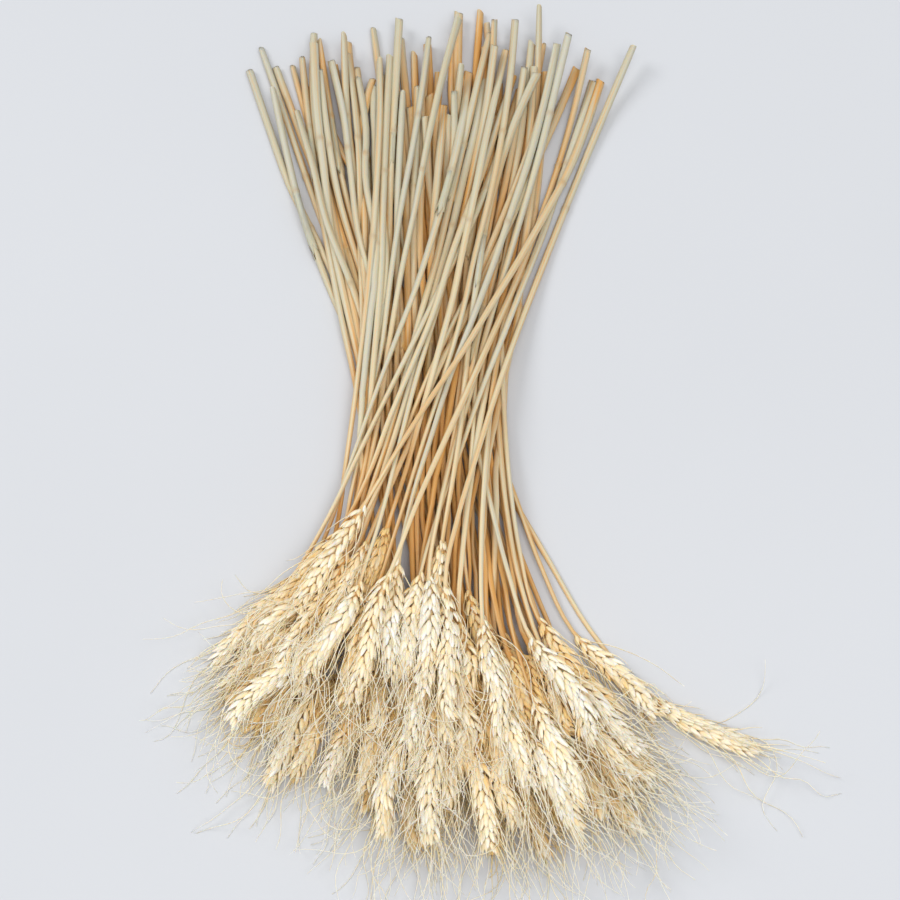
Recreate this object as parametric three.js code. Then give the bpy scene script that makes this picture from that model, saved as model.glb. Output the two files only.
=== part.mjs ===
/**
 * A bundle of bearded wheat: cut, dried stalks that lie crossed in one loose sheaf on a table.
 *
 * Each stalk grew in one piece, so each is one solid: a straw with a knuckle in it, an ear, and the beard of
 * awns that runs on past the ear's tip. Nothing ties them: the stalks cross at a waist, the upper ones leaning
 * one way and the lower ones the other, and they hold each other there.
 *
 * Units are millimetres. +Y runs from the beards to the cut ends, +X is to the right and +Z is up. The origin
 * is at the middle of the bundle's outline, on the table.
 */
import * as THREE from "three";

// ---- The bundle -------------------------------------------------------------------------------------------
const SOLID_STALKS = 60; // the outer ones
const INNER_STALKS = 28; // hidden in the middle: they take up their room, and have no solid of their own
const WAIST_HALF_WIDTH = 40;
const WAIST_HALF_HEIGHT = 12;
const ABOVE_WAIST = 234; // from the waist to the cut ends, along a stalk
const BELOW_WAIST = [92, 188]; // from the waist to the ears, along the uppermost and the lowest stalks
const LEAN = THREE.MathUtils.degToRad(23); // of the uppermost stalks; the lowest lean the other way
const SPREAD = THREE.MathUtils.degToRad(4); // how far a stalk at the side opens outwards, above and below
const FLARE = THREE.MathUtils.degToRad(52); // how far the ears at the two sides turn outwards in the end
const FLARE_LENGTH = 110; // the stretch of a stalk that this turn takes
const FLARE_MOST = 1.2; // of FLARE, on a stalk whose neck lies further out than EARS_HALF_WIDTH
const EARS_HALF_WIDTH = 80; // between the middle and the outermost ears' necks
const WAIST_HALF_LENGTH = 90; // over which a stalk turns from its heading above to the one below
// Before it settles, the waist's middle and half its height, in WAIST_HALF_HEIGHT.
const LAID_HEIGHT = [1.15, 1.5];
const CLEARANCE = 0.4; // between any two stalks, and a little less where an ear tapers

// ---- One stalk --------------------------------------------------------------------------------------------
const CUT_RADIUS = 2.05; // of the straw where it was cut
const NECK_RADIUS = 1.1; // of the straw where it meets the ear
const KNUCKLE_RISE = 0.4; // how far the knuckle stands out of the straw
const KNUCKLE_LENGTH = 5;
const KNUCKLE_PLACE = 92; // from the cut end
const EAR_RADIUS = 5.4;
const EAR_LENGTH = 68;
const BEARD_RADIUS = 1.3; // of the gathered awns where they leave the ear's tip
const BEARD_LENGTH = 42;
const BEARD_TIP_RADIUS = 0.45;
const STRAW_TAPER = 1.6; // over 1: a straw is thinned mostly in its upper part
const STRAW_STEPS = 9; // stations along the straw
const SIDES = 6; // of a stalk's section
// An ear's outline: how far along it, and how thick it is there, both as shares of the whole.
const EAR_OUTLINE = [
  [0.14, 0.66],
  [0.34, 1],
  [0.66, 0.94],
  [0.9, 0.62],
];

// ---- How much the stalks differ, each way -----------------------------------------------------------------
const LENGTH_VARIES = 24; // above the waist, and below it
const KNUCKLE_VARIES = 42; // in its place
const EAR_LENGTH_VARIES = 0.14; // these three are shares of the size
const EAR_RADIUS_VARIES = 0.08;
const BEARD_VARIES = 0.15;
const LEAN_VARIES = 8.5; // these three are in degrees
const LEAN_BELOW_VARIES = 4;
const EAR_TURN_VARIES = 14;

// ---- Settling ---------------------------------------------------------------------------------------------
const SINK_ROUNDS = 260; // the stalks sink under their weight
const CALM_ROUNDS = 120; // weight and stiffness fade out
const LAST_ROUNDS = 600; // at the most: only what still touches moves
const TOUCH = 0.01; // a stalk that lies this little too near another may stay
const REGROUP_EVERY = 10; // rounds between two searches for what is near what
const NEAR = 4; // how close two stretches are before they are watched
const STRAW_WEIGHT = 0.1; // how far a straw sinks in a round
const EAR_WEIGHT = 0.2; // and an ear, which is heavier
const STIFFNESS = 0.2; // how much of a sharp bend is taken out in a round
const BENDS = 4; // the smooth shapes that a stalk can take: a shift, a turn, a bow and a wave
const HOLD = 0.005; // how much of a sideways shift is taken back in a round

/** A repeatable source of random numbers from 0 to 1 (mulberry32). */
function randomSource(seed) {
  let state = seed;
  return () => {
    state = (state + 0x6d2b79f5) | 0;
    let t = Math.imul(state ^ (state >>> 15), 1 | state);
    t = (t + Math.imul(t ^ (t >>> 7), 61 | t)) ^ t;
    return ((t ^ (t >>> 14)) >>> 0) / 4294967296;
  };
}

/** The stations of one stalk, from its cut end to the beard's tip: how far along, and how thick. */
function stationsOf(strawLength, knuckleAt, earLength, earRadius, beardLength) {
  const strawRadius = (s) => THREE.MathUtils.lerp(CUT_RADIUS, NECK_RADIUS, (s / strawLength) ** STRAW_TAPER);
  const stations = [];
  for (let i = 0; i < STRAW_STEPS; i++) {
    const s = (strawLength * i) / STRAW_STEPS;
    if (Math.abs(s - knuckleAt) <= KNUCKLE_LENGTH) continue;
    stations.push({ s, radius: strawRadius(s), weight: STRAW_WEIGHT });
  }
  for (const [offset, rise] of [[-0.5, 0], [0, KNUCKLE_RISE], [0.5, 0]]) {
    const s = knuckleAt + offset * KNUCKLE_LENGTH;
    stations.push({ s, radius: strawRadius(s) + rise, weight: STRAW_WEIGHT });
  }
  stations.sort((a, b) => a.s - b.s);
  stations.push({ s: strawLength, radius: NECK_RADIUS, weight: STRAW_WEIGHT });
  for (const [along, thick] of EAR_OUTLINE) {
    stations.push({ s: strawLength + along * earLength, radius: thick * earRadius, weight: EAR_WEIGHT });
  }
  stations.push({ s: strawLength + earLength, radius: BEARD_RADIUS, weight: EAR_WEIGHT });
  stations.push({ s: strawLength + earLength + beardLength, radius: BEARD_TIP_RADIUS, weight: EAR_WEIGHT });
  return stations;
}

/** Lays stalk number i straight through its own place in the waist, fanned out at both ends. */
function laidStalk(i, random) {
  const { degToRad, lerp, clamp, smoothstep } = THREE.MathUtils;
  const vary = (size) => (random() * 2 - 1) * size;
  // Places spread evenly over the waist's section, as seeds are in a sunflower: the first are the innermost.
  const out = Math.sqrt((i + 0.5) / (INNER_STALKS + SOLID_STALKS));
  const turn = i * Math.PI * (3 - Math.sqrt(5));
  const across = out * Math.cos(turn);
  const height = out * Math.sin(turn);
  const laidHeight = WAIST_HALF_HEIGHT * (LAID_HEIGHT[0] + LAID_HEIGHT[1] * height);
  const waist = new THREE.Vector3(across * WAIST_HALF_WIDTH, 0, laidHeight + CUT_RADIUS);

  const above = ABOVE_WAIST + vary(LENGTH_VARIES);
  const below = lerp(...BELOW_WAIST, (1 - height) / 2) + vary(LENGTH_VARIES);
  const earLength = EAR_LENGTH * (1 + vary(EAR_LENGTH_VARIES));
  const stations = stationsOf(
    above + below, KNUCKLE_PLACE + vary(KNUCKLE_VARIES), earLength,
    EAR_RADIUS * (1 + vary(EAR_RADIUS_VARIES)), BEARD_LENGTH * (1 + vary(BEARD_VARIES)));

  // Headings, as angles from straight down the bundle towards +X, on the way from the cut end to the beard.
  const lean = -LEAN * height + degToRad(vary(LEAN_VARIES));
  const aboveHeading = lean - SPREAD * across;
  const belowHeading = lean + SPREAD * across + degToRad(vary(LEAN_BELOW_VARIES));
  const neckShare = (across * WAIST_HALF_WIDTH + below * Math.sin(belowHeading)) / EARS_HALF_WIDTH;
  const earHeading = FLARE * clamp(neckShare, -FLARE_MOST, FLARE_MOST) + degToRad(vary(EAR_TURN_VARIES));
  const heading = (down) => {
    const past = smoothstep(down, -WAIST_HALF_LENGTH, WAIST_HALF_LENGTH);
    const flared = smoothstep(down, below - 0.5 * FLARE_LENGTH, below + 0.5 * FLARE_LENGTH);
    return lerp(lerp(aboveHeading, belowHeading, past), earHeading, flared);
  };

  // The line is walked from the waist to both ends.
  const line = stations.map(() => waist.clone());
  const downTo = (k) => stations[k].s - above;
  const walk = (point, from, to) => {
    const angle = heading((from + to) / 2);
    point.x += Math.sin(angle) * (to - from);
    point.y -= Math.cos(angle) * (to - from);
    return point;
  };
  const first = stations.findIndex(({ s }) => s > above);
  walk(line[first], 0, downTo(first));
  for (let k = first + 1; k < line.length; k++) line[k] = walk(line[k - 1].clone(), downTo(k - 1), downTo(k));
  walk(line[first - 1], 0, downTo(first - 1));
  for (let k = first - 2; k >= 0; k--) line[k] = walk(line[k + 1].clone(), downTo(k + 1), downTo(k));
  return { line, home: line.map((p) => p.clone()), stations, smooth: bendsOf(stations) };
}

/** The shares s and t along a-b and c-d where the two stretches come nearest to each other. */
function nearestShares(a, b, c, d, out) {
  const ux = b.x - a.x, uy = b.y - a.y, uz = b.z - a.z;
  const vx = d.x - c.x, vy = d.y - c.y, vz = d.z - c.z;
  const wx = a.x - c.x, wy = a.y - c.y, wz = a.z - c.z;
  const uu = ux * ux + uy * uy + uz * uz;
  const vv = vx * vx + vy * vy + vz * vz;
  const uv = ux * vx + uy * vy + uz * vz;
  const uw = ux * wx + uy * wy + uz * wz;
  const vw = vx * wx + vy * wy + vz * wz;
  const clamp = (x) => Math.min(1, Math.max(0, x));
  const spread = uu * vv - uv * uv;
  let s = spread > 1e-9 * uu * vv ? clamp((uv * vw - vv * uw) / spread) : 0.5;
  const t = clamp((uv * s + vw) / vv);
  s = clamp((uv * t - uw) / uu);
  out.s = s;
  out.t = t;
}

/** Pushes two stretches apart at given shares along them, if they are closer there than they may be. */
function pushApart(one, i, s, two, j, t) {
  const a = one.line[i], b = one.line[i + 1], c = two.line[j], d = two.line[j + 1];
  let nx = a.x + (b.x - a.x) * s - c.x - (d.x - c.x) * t;
  const ny = a.y + (b.y - a.y) * s - c.y - (d.y - c.y) * t;
  let nz = a.z + (b.z - a.z) * s - c.z - (d.z - c.z) * t;
  const apart = Math.sqrt(nx * nx + ny * ny + nz * nz);
  const room = THREE.MathUtils.lerp(one.stations[i].radius, one.stations[i + 1].radius, s)
    + THREE.MathUtils.lerp(two.stations[j].radius, two.stations[j + 1].radius, t) + CLEARANCE;
  if (apart >= room) return 0;
  // Stalks move only across the bundle, so the push has no share along it.
  let across = Math.hypot(nx, nz);
  if (across < 1e-6) {
    nx = 0;
    nz = 1;
    across = 1;
  }
  const push = ((room - apart) * 0.5) / across;
  const p = push / ((1 - s) ** 2 + s ** 2), q = push / ((1 - t) ** 2 + t ** 2);
  a.x += nx * p * (1 - s);
  a.z += nz * p * (1 - s);
  b.x += nx * p * s;
  b.z += nz * p * s;
  c.x -= nx * q * (1 - t);
  c.z -= nz * q * (1 - t);
  d.x -= nx * q * t;
  d.z -= nz * q * t;
  return room - apart;
}

/** Every pair of stretches of different stalks that are near each other. */
function nearPairs(stalks) {
  const boxes = [];
  stalks.forEach((stalk, owner) => {
    for (let i = 0; i + 1 < stalk.line.length; i++) {
      const box = new THREE.Box3().setFromPoints([stalk.line[i], stalk.line[i + 1]]);
      const radius = Math.max(stalk.stations[i].radius, stalk.stations[i + 1].radius);
      boxes.push({ owner, i, box: box.expandByScalar(radius + NEAR / 2) });
    }
  });
  boxes.sort((a, b) => a.box.min.y - b.box.min.y);
  const pairs = [];
  boxes.forEach((a, n) => {
    for (let m = n + 1; m < boxes.length && boxes[m].box.min.y < a.box.max.y; m++) {
      const b = boxes[m];
      if (a.owner !== b.owner && a.box.intersectsBox(b.box)) {
        pairs.push([stalks[a.owner], a.i, stalks[b.owner], b.i]);
      }
    }
  });
  return pairs;
}

/** The smooth ways a stalk can bend, as values at its stations: polynomials made orthogonal along its length. */
function bendsOf(stations) {
  const length = stations.at(-1).s;
  const weights = stations.map(({ s }, k) => {
    const from = stations[Math.max(k - 1, 0)].s;
    const to = stations[Math.min(k + 1, stations.length - 1)].s;
    return (to - from) / (2 * length);
  });
  const dot = (a, b) => a.reduce((sum, v, k) => sum + v * b[k] * weights[k], 0);
  const bends = [];
  for (let power = 0; power < BENDS; power++) {
    let bend = stations.map(({ s }) => (2 * (s / length) - 1) ** power);
    for (const other of bends) {
      const share = dot(bend, other);
      bend = bend.map((v, k) => v - share * other[k]);
    }
    const size = Math.sqrt(dot(bend, bend));
    bends.push(bend.map((v) => v / size));
  }
  return { bends, dot };
}

/** Takes out what the pushing has bent too sharply, so that a stalk gives way as a whole, as stiff straw does. */
function straighten({ line, home, smooth }, stiffness) {
  for (const axis of ["x", "z"]) {
    const shift = line.map((point, k) => point[axis] - home[k][axis]);
    const fit = shift.map(() => 0);
    for (const bend of smooth.bends) {
      const share = smooth.dot(shift, bend);
      bend.forEach((v, k) => {
        fit[k] += share * v;
      });
    }
    line.forEach((point, k) => {
      point[axis] += (fit[k] - shift[k]) * stiffness;
    });
  }
}

/** Lets the laid stalks sink onto the table and onto each other until none lies in another. */
function settle(stalks) {
  const nearest = { s: 0, t: 0 };
  let pairs = [];
  for (let round = 0; round < SINK_ROUNDS + CALM_ROUNDS + LAST_ROUNDS; round++) {
    if (round % REGROUP_EVERY === 0) pairs = nearPairs(stalks);
    const calm = THREE.MathUtils.clamp((round - SINK_ROUNDS) / CALM_ROUNDS, 0, 1);
    for (const stalk of calm < 1 ? stalks : []) {
      stalk.line.forEach((point, k) => {
        point.z -= stalk.stations[k].weight * (1 - calm);
        point.x += (stalk.home[k].x - point.x) * HOLD * (1 - calm);
      });
      straighten(stalk, STIFFNESS * (1 - calm));
    }
    let deepest = 0;
    for (const [one, i, two, j] of pairs) {
      nearestShares(one.line[i], one.line[i + 1], two.line[j], two.line[j + 1], nearest);
      deepest = Math.max(deepest, pushApart(one, i, nearest.s, two, j, nearest.t));
    }
    for (const { line, stations } of stalks) {
      line.forEach((point, k) => {
        point.z = Math.max(point.z, stations[k].radius);
      });
    }
    if (calm === 1 && deepest < TOUCH) break;
  }
}

/** One stalk's solid: its profile turned about a straight axis, then bent onto the stalk's line. */
function stalkGeometry({ line, stations }) {
  const profile = stations.map(({ s, radius }) => new THREE.Vector2(radius, s));
  profile.unshift(new THREE.Vector2(0, 0));
  profile.push(new THREE.Vector2(0, stations.at(-1).s));
  const geometry = new THREE.LatheGeometry(profile, SIDES);
  const position = geometry.getAttribute("position");
  const up = new THREE.Vector3(0, 0, 1);
  const frames = line.map((point, k) => {
    const ahead = line[Math.min(k + 1, line.length - 1)];
    const along = ahead.clone().sub(line[Math.max(k - 1, 0)]).normalize();
    const side = new THREE.Vector3().crossVectors(along, up).normalize();
    return { point, side, top: new THREE.Vector3().crossVectors(side, along) };
  });
  for (let v = 0; v < position.count; v++) {
    const ring = THREE.MathUtils.clamp((v % profile.length) - 1, 0, line.length - 1);
    const { point, side, top } = frames[ring];
    const moved = point.clone().addScaledVector(side, position.getX(v)).addScaledVector(top, position.getZ(v));
    position.setXYZ(v, moved.x, moved.y, moved.z);
  }
  geometry.computeVertexNormals();
  return geometry;
}

const random = randomSource(3);
const stalks = Array.from({ length: INNER_STALKS + SOLID_STALKS }, (_, i) => laidStalk(i, random));
settle(stalks);

const bundle = new THREE.Group();
bundle.name = "wheat_bundle";
const straw = new THREE.MeshStandardMaterial({ color: 0xe3d2a8, roughness: 0.62, metalness: 0 });
stalks.slice(INNER_STALKS).forEach((stalk, i) => {
  const mesh = new THREE.Mesh(stalkGeometry(stalk), straw.clone());
  mesh.name = `wheat_stalk_${String(i + 1).padStart(2, "0")}`;
  bundle.add(mesh);
});

// The origin goes to the middle of the outline, on the table.
const outline = new THREE.Box3().setFromObject(bundle, true);
const middle = outline.getCenter(new THREE.Vector3());
bundle.children.forEach((mesh) => mesh.position.set(-middle.x, -middle.y, -outline.min.z));

export default bundle;
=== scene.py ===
# %% [markdown]
# # A bundle of bearded wheat
#
# A loose sheaf of dried, bleached wheat lies on a table. The solid model gives every outer stalk as one plain
# solid: where it lies, how long it is and how thick. This lesson keeps those places and grows the real plant on
# them: a straw with its knuckle and its cut, hollow end, an ear of overlapping husks, and a beard of fine awns.
#
# The frame comes first, because everything else takes its place and its size from it.

# %% The frame
import math

import bmesh
import bpy
import numpy as np
from mathutils import Matrix, Vector


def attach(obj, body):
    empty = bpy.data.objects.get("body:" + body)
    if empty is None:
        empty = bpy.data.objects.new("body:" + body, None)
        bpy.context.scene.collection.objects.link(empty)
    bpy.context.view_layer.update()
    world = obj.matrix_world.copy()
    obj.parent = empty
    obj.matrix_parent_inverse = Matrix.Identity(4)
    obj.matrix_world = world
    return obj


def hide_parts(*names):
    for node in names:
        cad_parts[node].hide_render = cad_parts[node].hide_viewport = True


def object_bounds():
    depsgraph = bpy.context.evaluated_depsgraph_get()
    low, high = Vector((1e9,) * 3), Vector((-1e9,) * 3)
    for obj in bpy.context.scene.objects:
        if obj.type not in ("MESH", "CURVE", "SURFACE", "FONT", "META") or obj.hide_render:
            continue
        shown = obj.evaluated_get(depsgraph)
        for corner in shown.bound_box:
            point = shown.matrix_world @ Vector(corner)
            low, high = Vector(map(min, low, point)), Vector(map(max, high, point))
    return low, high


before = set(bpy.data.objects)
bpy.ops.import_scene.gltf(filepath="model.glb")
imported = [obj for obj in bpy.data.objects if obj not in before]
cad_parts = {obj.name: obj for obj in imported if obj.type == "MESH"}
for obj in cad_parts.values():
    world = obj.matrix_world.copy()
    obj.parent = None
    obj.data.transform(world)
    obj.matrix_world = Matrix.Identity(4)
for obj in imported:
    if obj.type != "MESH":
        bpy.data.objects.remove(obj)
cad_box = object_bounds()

MM = 0.001
print("the bundle's box, in mm:", [[round(v / MM, 1) for v in corner] for corner in cad_box])

# %% [markdown]
# ## The camera, the table and the light
#
# The sheaf is seen nearly from straight above, from the side of the ears, and from far enough away that little
# of it is foreshortened. A long lens does that. The camera is aimed with a direction and a distance, which is
# easier to think about than a place and three turns.
#
# The light is that of a room with a large window on the left and a white ceiling. The window is one big soft
# lamp that gives the straw its lit side and a soft shadow. The ceiling is another that shines straight down into
# the gaps, so that they glow in the colour of straw, and an even pale sky fills the rest.

# %% The camera
LENS_MM = 77.2
CAMERA_DISTANCE = 1.1
CAMERA_HEIGHT = math.radians(72)
LOOKED_AT = Vector((-26 * MM, -6 * MM, 8 * MM))


def add_camera():
    """A long lens above the ears' side of the bundle."""
    data = bpy.data.cameras.new("camera")
    data.lens = LENS_MM
    data.sensor_width = 36
    camera = bpy.data.objects.new("camera", data)
    towards = Vector((0, -math.cos(CAMERA_HEIGHT), math.sin(CAMERA_HEIGHT)))
    camera.location = LOOKED_AT + towards * CAMERA_DISTANCE
    camera.rotation_euler = (-towards).to_track_quat("-Z", "Y").to_euler()
    bpy.context.scene.collection.objects.link(camera)
    bpy.context.scene.camera = camera
    return camera


camera = add_camera()
print("camera at", [round(v, 3) for v in camera.location])


# %% Nodes, in short
def add_node(tree, kind, values=None, **settings):
    """A node with its settings, and with each named input given a number, a colour or another node's output."""
    node = tree.nodes.new(kind)
    for name, value in settings.items():
        setattr(node, name, value)
    for name, value in (values or {}).items():
        if isinstance(value, bpy.types.NodeSocket):
            tree.links.new(value, node.inputs[name])
        else:
            node.inputs[name].default_value = value
    return node


def new_material(name):
    """An empty material, its tree and its output."""
    material = bpy.data.materials.new(name)
    material.use_nodes = True
    tree = material.node_tree
    tree.nodes.clear()
    return material, tree, tree.nodes.new("ShaderNodeOutputMaterial")


# %% The table
TABLE_COLOUR = (0.60, 0.62, 0.655, 1)
TABLE_HALF_WIDTH = 12


def add_table():
    """A wide pale surface, a little uneven in tone as painted board is."""
    bm = bmesh.new()
    bmesh.ops.create_grid(bm, x_segments=1, y_segments=1, size=TABLE_HALF_WIDTH)
    mesh = bpy.data.meshes.new("table")
    bm.to_mesh(mesh)
    bm.free()
    material, tree, output = new_material("table")
    place = add_node(tree, "ShaderNodeTexCoord")
    cloudy = add_node(tree, "ShaderNodeTexNoise", {"Vector": place.outputs["Object"], "Scale": 3.0, "Detail": 3.0})
    tone = add_node(tree, "ShaderNodeMapRange", {"Value": cloudy.outputs["Fac"], "To Min": 0.97, "To Max": 1.03})
    colour = add_node(tree, "ShaderNodeVectorMath", {0: TABLE_COLOUR[:3], "Scale": tone.outputs["Result"]},
                      operation="SCALE")
    shader = add_node(tree, "ShaderNodeBsdfPrincipled", {
        "Base Color": colour.outputs["Vector"], "Roughness": 0.6, "Specular IOR Level": 0.2})
    tree.links.new(shader.outputs["BSDF"], output.inputs["Surface"])
    mesh.materials.append(material)
    table = bpy.data.objects.new("table", mesh)
    bpy.context.scene.collection.objects.link(table)
    return table


table = add_table()
print("table", 2 * TABLE_HALF_WIDTH, "m wide")

# %% The light
WINDOW = Vector((-5.0, 2.2, 5.6))
WINDOW_SIZE, WINDOW_WATTS = 3.4, 232
CEILING = Vector((0.7, -1.0, 4.0))
CEILING_SIZE, CEILING_WATTS = 3.0, 98
SKY_COLOUR = (0.975, 0.985, 1.0, 1)
SKY_STRENGTH = 0.52


def add_lamp(name, place, size, power):
    """A square soft lamp that points at the middle of the table."""
    lamp = bpy.data.lights.new(name, "AREA")
    lamp.shape = "SQUARE"
    lamp.size = size
    lamp.energy = power
    lamp.color = (1.0, 0.985, 0.965)
    holder = bpy.data.objects.new(name, lamp)
    holder.location = place
    holder.rotation_euler = (-place).to_track_quat("-Z", "Y").to_euler()
    bpy.context.scene.collection.objects.link(holder)
    return holder


def add_sky():
    """An even pale light from everywhere."""
    world = bpy.data.worlds.new("sky")
    world.use_nodes = True
    background = world.node_tree.nodes["Background"]
    background.inputs["Color"].default_value = SKY_COLOUR
    background.inputs["Strength"].default_value = SKY_STRENGTH
    bpy.context.scene.world = world
    bpy.context.scene.view_settings.view_transform = "Standard"


lamps = [add_lamp("window", WINDOW, WINDOW_SIZE, WINDOW_WATTS),
         add_lamp("ceiling", CEILING, CEILING_SIZE, CEILING_WATTS)]
add_sky()
print([(lamp.name, lamp.data.energy) for lamp in lamps], "W, and a sky of", SKY_STRENGTH)

# %% [markdown]
# ## Where each stalk lies
#
# A solid stalk is a stack of six-sided rings with a point in the middle of each end. Its centre line is what the
# plant is grown on, so it is read back from the mesh: starting from the middle of the cut end, each step outwards
# along the edges reaches the next ring. The middle of a ring is a place on the line, and its size is the stalk's
# thickness there. The last seven rings are always the neck, the ear's four, the ear's tip and the beard's tip.

# %% Reading a stalk's rings
EAR_RINGS = 7


def rings_of(node):
    """The middles and radii of a solid stalk's rings, from the cut end to the beard's tip."""
    bm = bmesh.new()
    bm.from_mesh(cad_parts[node].data)
    bmesh.ops.remove_doubles(bm, verts=bm.verts, dist=1e-6)
    bm.verts.index_update()

    def beside(vert):
        return [edge.other_vert(vert) for edge in vert.link_edges]

    def off_middle(vert):
        near = beside(vert)
        return (sum((v.co for v in near), Vector()) / len(near) - vert.co).length

    ends = sorted(bm.verts, key=off_middle)[:2]
    level = [max(ends, key=lambda v: v.co.y)]
    seen, rings = set(level), []
    while level:
        rings.append(np.array([v.co for v in level]))
        level = sorted({n for v in level for n in beside(v)} - seen, key=lambda v: v.index)
        seen.update(level)
    bm.free()
    rings = rings[1:-1]
    middles = np.array([ring.mean(axis=0) for ring in rings])
    radii = np.array([np.linalg.norm(r - m, axis=1).mean() for r, m in zip(rings, middles)])
    return middles, radii


NODES = sorted(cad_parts)
solid_stalks = [rings_of(node) for node in NODES]
print(len(solid_stalks), "stalks of", {len(radii) for _, radii in solid_stalks}, "rings")

# %% [markdown]
# A line through a few rings has corners. A Hermite spline goes through the same places without them, and it also
# gives the direction everywhere, which the bending below needs. Past its ends the line goes straight on, which
# is where the longest awns end up.


# %% A smooth line through the rings
def unit(vectors):
    """The same directions, each one long."""
    return vectors / np.maximum(np.linalg.norm(vectors, axis=-1, keepdims=True), 1e-12)


class Line:
    """A smooth line through points that lie at given distances along it."""

    def __init__(self, points, at):
        self.points, self.at = points, at
        self.slope = np.gradient(points, at, axis=0)

    def __call__(self, s):
        """The places and directions at distances s."""
        s = np.asarray(s, float)
        held = np.clip(s, 0, self.at[-1])
        k = np.clip(np.searchsorted(self.at, held, side="right") - 1, 0, len(self.at) - 2)
        step = (self.at[k + 1] - self.at[k])[..., None]
        t = (held - self.at[k])[..., None] / step
        a, b = self.points[k], self.points[k + 1]
        u, v = self.slope[k] * step, self.slope[k + 1] * step
        place = ((2 * t - 3) * t * t + 1) * a + ((t - 2) * t + 1) * t * u \
            + (3 - 2 * t) * t * t * b + (t - 1) * t * t * v
        heading = unit((6 * t - 6) * t * (a - b) + ((3 * t - 4) * t + 1) * u + (3 * t - 2) * t * v)
        return place + heading * (s - held)[..., None], heading


def bend(straight, line):
    """Bends points that were made round a straight upright axis onto a line: their height is the way along it."""
    place, heading = line(straight[..., 2])
    side = unit(np.cross(heading, (0.0, 0.0, 1.0)))
    top = np.cross(side, heading)
    return place + side * straight[..., :1] + top * straight[..., 1:2]


# %% The stalks that have solids
class Stalk:
    """One stalk: its line, its thickness along it, and where its parts begin."""

    def __init__(self, points, radii, node=None):
        self.node, self.radii = node, radii
        steps = np.linalg.norm(np.diff(points, axis=0), axis=1)
        self.at = np.concatenate([[0], np.cumsum(steps)])
        self.neck, self.ear_tip, self.beard_tip = self.at[[-EAR_RINGS, -2, -1]]
        bump = radii[1:-1] * 2 - radii[:-2] - radii[2:]
        self.knuckle = self.at[1 + int(np.argmax(bump[: len(radii) - EAR_RINGS - 1]))]
        self.ear_radius = radii[-EAR_RINGS:].max()
        # The rings of the knuckle are too close together to steer a smooth line.
        steering = np.abs(self.at - self.knuckle) > 5 * MM
        self.line = Line(points[steering], self.at[steering])

    def straw_radius(self, s):
        """How thick the straw is, without its knuckle."""
        plain = np.abs(self.at - self.knuckle) > 1 * MM
        plain[-EAR_RINGS + 1:] = False
        return np.interp(s, self.at[plain], self.radii[plain])


stalks = [Stalk(*rings, node) for rings, node in zip(solid_stalks, NODES)]
print("ears", [round((s.ear_tip - s.neck) / MM) for s in stalks[:8]], "mm long, knuckles at",
      [round(s.knuckle / MM) for s in stalks[:8]], "mm")

# %% [markdown]
# ## The stalks in the middle
#
# The solids are the outer stalks. They leave room for the ones inside the sheaf, which nobody handles but which
# show in the gaps. Between a stalk that lies high and leans one way and a stalk that lies low and leans the other,
# there is always a line that runs through the middle, so each inner stalk starts as a blend of such a pair.
#
# In a loose sheaf the inner stalks slip out towards the heavy ears, so each is moved that way by a centimetre or
# more. Then it makes way for its neighbours. Every stalk is cut by the same planes across the bundle, which leaves
# small circles in each plane, and circles that overlap push each other apart. A push is shared with the planes
# before and after it, because straw is stiff: it gives way along a hand's breadth, not at one point. That doesn't
# free them all. In so tight a crowd most inner stalks still run into a neighbour somewhere, by up to a few
# millimetres, and the cell prints the worst of it.

# %% The planes across the bundle
INNER_STALKS = 28
STRAW_STATIONS, EAR_STEPS, BEARD_STEPS = 34, 8, 3  # the places that an inner stalk is made of
PLANE_GAP = 6 * MM
SLIPPED = [10 * MM, 45 * MM]  # how far the inner stalks have slipped down towards the ears
BLENDED = [0.36, 0.64]  # how much of an inner stalk comes from the low one of its pair
random = np.random.default_rng(7)


def stations_of(stalk):
    """Places at equal shares of the straw, the ear and the beard, with the radii there."""
    s = np.concatenate([
        np.linspace(0, stalk.neck, STRAW_STATIONS, endpoint=False),
        np.linspace(stalk.neck, stalk.ear_tip, EAR_STEPS + 1),
        np.linspace(stalk.ear_tip, stalk.beard_tip, BEARD_STEPS + 1)[1:]])
    radii = np.interp(s, stalk.at, stalk.radii)
    radii[:STRAW_STATIONS] = stalk.straw_radius(s[:STRAW_STATIONS])
    return stalk.line(s)[0], radii


def cut_by_planes(points, radii, planes):
    """A stalk's place, radius and slant in each plane, or nan where it doesn't reach."""
    down = -points[:, 1]
    across = np.array([np.interp(-planes, down, v, left=np.nan, right=np.nan)
                       for v in (points[:, 0], points[:, 2], radii)])
    slope = np.gradient(across[0], planes)
    return np.vstack([across, 1 / np.sqrt(1 + slope**2)])


planes = np.arange(cad_box[1][1], cad_box[0][1], -PLANE_GAP)
outer = [stations_of(s) for s in stalks]
print(len(planes), "planes,", PLANE_GAP / MM, "mm apart")


# %% Blends of a high and a low stalk
def inner_start():
    """Inner stalks as blends of pairs that cross, in pairs spread evenly over the upper and the lower stalks."""
    heights = [np.interp(0, -points[:, 1], points[:, 2]) for points, _ in outer]
    order = np.argsort(heights)
    low, high = order[: len(order) // 2], order[len(order) // 2:]
    blends = []
    for n in range(INNER_STALKS):
        a = outer[low[(n * 11 + 3) % len(low)]]
        b = outer[high[(n * 17 + 5) % len(high)]]
        share = random.uniform(*BLENDED)
        points, radii = (one * share + other * (1 - share) for one, other in zip(a, b))
        slip = min(random.uniform(*SLIPPED), points[-1, 1] - cad_box[0][1])
        blends.append((points - (0, slip, 0), radii))
    return blends


blends = inner_start()
print(len(blends), "inner stalks begin at heights of",
      sorted({round(float(np.interp(0, -p[:, 1], p[:, 2]) / MM)) for p, _ in blends}), "mm")

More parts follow.
